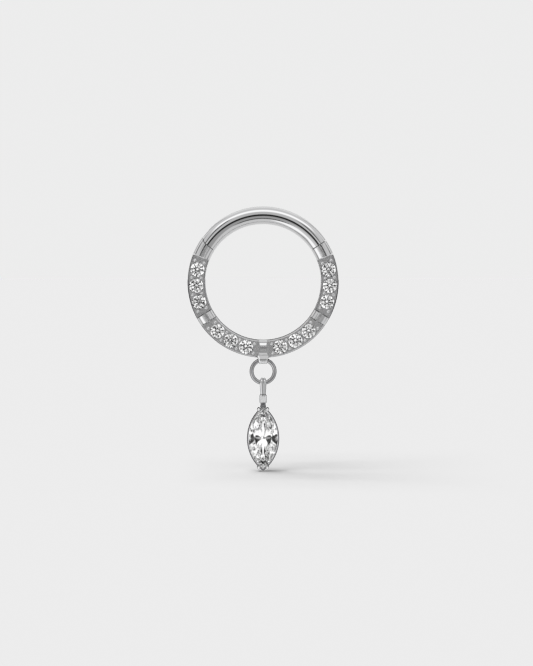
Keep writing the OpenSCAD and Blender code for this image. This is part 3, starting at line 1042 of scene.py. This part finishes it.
def bail():
    """Path: up the front leg, over a half circle and down the back leg. At each point of the
    path the section stands on the path's outward direction, with a groove on its outside. The
    groove's depth falls off from the middle as e to minus the square of the way across."""
    mid, half_t = (BAIL_IN + BAIL_OUT) / 2, (BAIL_OUT - BAIL_IN) / 2
    foot = np.array(FOOT)
    tilt_in = np.arctan2(mid - foot[0], -foot[1])
    over = np.linspace(-tilt_in, np.pi + tilt_in, 56)
    round_part = mid * np.column_stack([np.cos(over), np.sin(over)])
    steps = np.linspace(0, 1, 24)[:-1, None]
    front = foot + (round_part[0] - foot) * steps
    path = np.vstack([front, round_part, (front * [-1, 1])[::-1]])
    along = np.gradient(path, axis=0)
    along /= np.linalg.norm(along, axis=1, keepdims=True)
    out = np.column_stack([along[:, 1], -along[:, 0]])
    thick = np.interp(path[:, 1], [NECK_TOP, 0], [0.07, half_t])[:, None]
    half_w = np.interp(path[:, 1], [-0.83, 0, 0.2, 0.27], [0.165, 0.215, 0.18, 0.15])[:, None]
    c, s = superellipse(64, 2.4)
    across = half_w * c
    fall = np.exp(-((across / GROOVE_WIDE) ** 2))
    rise = thick * s - GROOVE_DEEP * fall * np.clip(s * 2, 0, 1)
    up = PIVOT_Y + path[:, 1:2] + out[:, 1:2] * rise
    forward = path[:, 0:1] + out[:, 0:1] * rise
    piece = skin("drop_setting_metal", np.stack([across, up, forward], -1))
    # The groove's floor takes the dark metal: painted shade.
    for face in filter(in_groove, piece.data.polygons):
        face.material_index = PAINTED_SHADE
    return piece


drop = bail()
print("bail:", len(drop.data.polygons), "faces")

# %% [markdown]
# ### Neck, solder band and collar
# Three small blocks join the bail to the setting. The neck is a satin block that grows deeper
# downwards, the solder band closes the bail's legs above it, and the collar runs from the neck
# to the setting's tip. The band and the collar are dull and dark: painted shade at the joins
# above and below the neck. Each block is a stack of superellipses.

# %% Neck, solder band and collar
NECK = ((-0.85, 0.2, 0.075), (-0.865, 0.225, 0.085), (-0.88, 0.237, 0.09), (-1.34, 0.237, 0.225),
        (-1.38, 0.22, 0.2), (-1.42, 0.16, 0.16), (-1.46, 0.1, 0.11))
BAND = ((-0.78, 0.16, 0.14), (-0.79, 0.185, 0.17), (-0.84, 0.19, 0.175), (-0.86, 0.16, 0.14))
COLLAR = ((2.13, 0.13, 0.1, 0.14), (2.16, 0.18, 0.14, 0.17), (2.22, 0.18, 0.15, 0.16),
          (2.3, 0.165, 0.17, 0.06), (2.36, 0.155, 0.17, 0), (2.5, 0.14, 0.15, 0))
solder(drop, block("neck", [(PIVOT_Y + y, w, d, 0) for y, w, d in NECK], power=7, metal=SATIN))
# Band and collar take the dark metal: painted shade at the joins.
solder(drop, block("solder band", [(PIVOT_Y + y, w, d, 0) for y, w, d in BAND], metal=PAINTED_SHADE))
solder(drop, block("collar", [(DROP_Y + y, w, d, z) for y, w, d, z in COLLAR], metal=PAINTED_SHADE))
print("bail, neck and collar:", len(drop.data.polygons), "faces")

# %% [markdown]
# ### Marquise setting
# The setting is a thin wall bent round the stone and open at the back. Seen from the front it is
# two arcs that cross, with small arcs in the tips that touch both. The wall's profile is carried
# round that outline: it comes in towards the back, so each point of the profile has an outline
# of its own, from arcs of a smaller radius about the same centres.


# %% Marquise setting
def marquise(radius, tip, count=44, tip_count=9):
    """Outline of two crossing arcs about centres to either side, and a small arc in each tip
    that touches both. The arcs end where the line to the tip arc's middle leaves them."""
    reach_angle = np.arccos(ARC_C / (radius - tip))
    rise = np.sqrt((radius - tip) ** 2 - ARC_C**2)
    a = np.linspace(-reach_angle, reach_angle, count)
    b = np.linspace(reach_angle, np.pi - reach_angle, tip_count + 2)[1:-1]
    right = np.column_stack([radius * np.cos(a) - ARC_C, radius * np.sin(a)])
    top = np.column_stack([tip * np.cos(b), rise + tip * np.sin(b)])
    return np.vstack([right, top, -right, -top])


# The wall's profile, from low outside up, over the rim and down inside. Each point has its
# inset from the outer arc, its height and the radius of the tip there.
RIM = GIRDLE_Z + 0.09
WALL = [(0.29, -0.63, 0.09), (0.262, -0.612, 0.1), (0.0, -0.11, 0.1), (0.0, RIM - 0.03, 0.1),
        (0.006, RIM - 0.012, 0.095), (0.02, RIM, 0.08), (0.065, RIM, 0.05),
        (0.079, RIM - 0.008, 0.035), (0.085, RIM - 0.022, 0.02), (0.085, GIRDLE_Z - 0.025, 0.02),
        (0.515, -0.11, 0.02), (0.515, -0.612, 0.02), (0.497, -0.63, 0.03)]
# Which parts of the wall aren't polished: first and last point, metal.
# From point 2 to point 8, up the outside and over the rim, the wall is darker: painted shade.
WALL_METALS = ((2, 8, SHADED_TITANIUM), (9, 11, SILVER), (12, 13, SATIN))


def setting():
    """The wall profile carried round the marquise outline."""
    grid = []
    for inset, z, tip in WALL:
        x, y = marquise(ARC_R - inset, tip).T
        grid.append(np.column_stack([x, DROP_Y + y, np.full(len(x), z)]))
    piece = skin("setting", np.stack(grid), closed_rows=True)
    around = len(grid[0])
    faces = list(piece.data.polygons)
    for first, last, metal in WALL_METALS:
        for face in faces[first * around:last * around]:
            face.material_index = metal
    return piece


solder(drop, setting())
print("with its setting:", len(drop.data.polygons), "faces")

# %% [markdown]
# ### Claws
# Two claws at each tip hold the stone. A claw is a round wire soldered upright to the wall, cut
# to length and rounded over the stone's edge with a hollow cutter, so its top is half a ball. It
# is turned as a lathe piece, with a small bevel at its foot.

# %% Claws
CLAW_R, CLAW_TOP = 0.1, GIRDLE_Z + 0.08
CLAW_X, CLAW_Y = 0.3, 2.015
turn = np.linspace(0, np.pi / 2, 9)[:-1]
claw_r = [0.045, 0.08, CLAW_R, *(CLAW_R * np.cos(turn))]
claw_z = [-0.36, -0.345, -0.31, *(CLAW_TOP + CLAW_R * np.sin(turn))]
for x in (-CLAW_X, CLAW_X):
    for y in (-CLAW_Y, CLAW_Y):
        solder(drop, lathe("claw", claw_r, claw_z, [x, DROP_Y + y, 0], count=36, metal=SILVER))
dress(drop, "drop", "drop_setting")

# %% [markdown]
# ## Stones
# The twelve round stones and the marquise stone are cubic zirconia, which bends light almost as
# strongly as diamond. With a clear shader and that bending, each flat facet shows another spot
# of the stones' sky, and black and white come by themselves. Their CAD solids have every facet
# already, so they only get the material. Its surface glare is set below the real one's, or the
# glare would lie over the dark facets like a veil.

# %% Stone material
ZIRCONIA_IOR, GLARE = 2.17, 0.4
clear = finish("clear stone", (0.985, 0.985, 0.985), metallic=0.0, even=True, Roughness=0.0,
               Tint=0.01)
glass = clear.node_tree.nodes["Principled BSDF"]
glass.inputs["Transmission Weight"].default_value = 1.0
glass.inputs["IOR"].default_value = ZIRCONIA_IOR
glass.inputs["Specular Tint"].default_value = (GLARE, GLARE, GLARE, 1)
stones = [node for name, node in nodes.items() if "stone" in name]
for stone in stones:
    stone.material_slots[0].material = clear
print("stones:", len(stones))

# %% [markdown]
# ### Light inside a stone
# A ray is thrown about inside a stone many times before it leaves. The scene follows it for
# more turns than it would through a window pane, because a ray that is given up ends black, and
# the stone's tips would go dark.

# %% Bounces
light_paths = bpy.context.scene.cycles
light_paths.max_bounces = 32
light_paths.glossy_bounces = 16
light_paths.transmission_bounces = 16
print("bounces:", light_paths.max_bounces)
